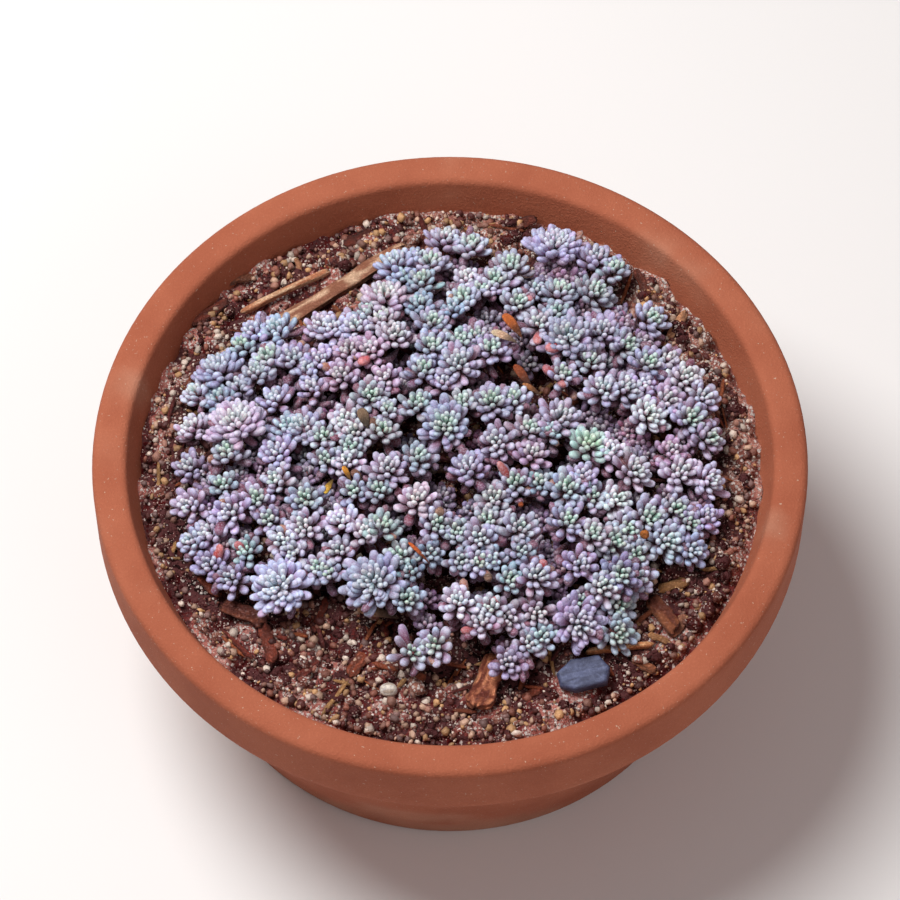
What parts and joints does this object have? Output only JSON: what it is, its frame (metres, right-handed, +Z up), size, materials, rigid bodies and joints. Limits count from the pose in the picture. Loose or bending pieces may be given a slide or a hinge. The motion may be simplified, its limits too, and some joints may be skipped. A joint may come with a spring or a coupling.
{
  "type": "potted spanish stonecrop",
  "caption": "Low mat of blue-lavender spanish stonecrop rosettes on short branching stems, growing in gritty soil in a plain shallow round clay pan.",
  "frame": {"origin": "middle of the clay pan's underside, on the surface that it stands on", "axes": "+Z up along the pan's axis; -Y is the front, the side from which the picture looks at the mat"},
  "size_m": [0.144, 0.144, 0.0769],
  "materials": {
    "terracotta": "matte",
    "soil": "matte",
    "leaves": "matte",
    "stems": "matte",
    "bark": "matte",
    "straw": "satin",
    "slate": "matte",
    "pebble": "satin"
  },
  "bodies": {
    "root": {"pan": "terracotta", "soil": "soil", "tuft_01": "leaves", "tuft_02": "leaves", "tuft_03": "leaves", "tuft_04": "leaves", "tuft_05": "leaves", "tuft_06": "leaves", "tuft_07": "leaves", "tuft_08": "leaves", "tuft_09": "leaves", "tuft_10": "leaves", "tuft_11": "leaves", "tuft_12": "leaves", "tuft_13": "leaves", "tuft_14": "leaves", "tuft_15": "leaves", "tuft_16": "leaves", "tuft_17": "leaves", "tuft_18": "leaves", "tuft_19": "leaves", "tuft_20": "leaves", "tuft_21": "leaves", "tuft_22": "leaves", "tuft_23": "leaves", "tuft_24": "leaves", "tuft_25": "leaves", "tuft_26": "leaves", "tuft_27": "leaves", "tuft_28": "leaves", "tuft_29": "leaves", "tuft_30": "leaves", "tuft_31": "leaves", "tuft_32": "leaves", "tuft_33": "leaves", "tuft_34": "leaves", "tuft_35": "leaves", "tuft_36": "leaves", "tuft_37": "leaves", "tuft_38": "leaves", "tuft_39": "leaves", "tuft_40": "leaves", "tuft_41": "leaves", "tuft_42": "leaves", "tuft_43": "leaves", "tuft_44": "leaves", "tuft_45": "leaves", "tuft_46": "leaves", "tuft_47": "leaves", "tuft_48": "leaves", "tuft_49": "leaves", "tuft_50": "leaves", "bark_strip": "bark", "bark_chip_left": "bark", "bark_chip_right": "bark", "wood_chip": "straw", "slate_chip": "slate", "straw_long": "straw", "straw_short": "straw", "pebble": "pebble"}
  },
  "joints": []
}
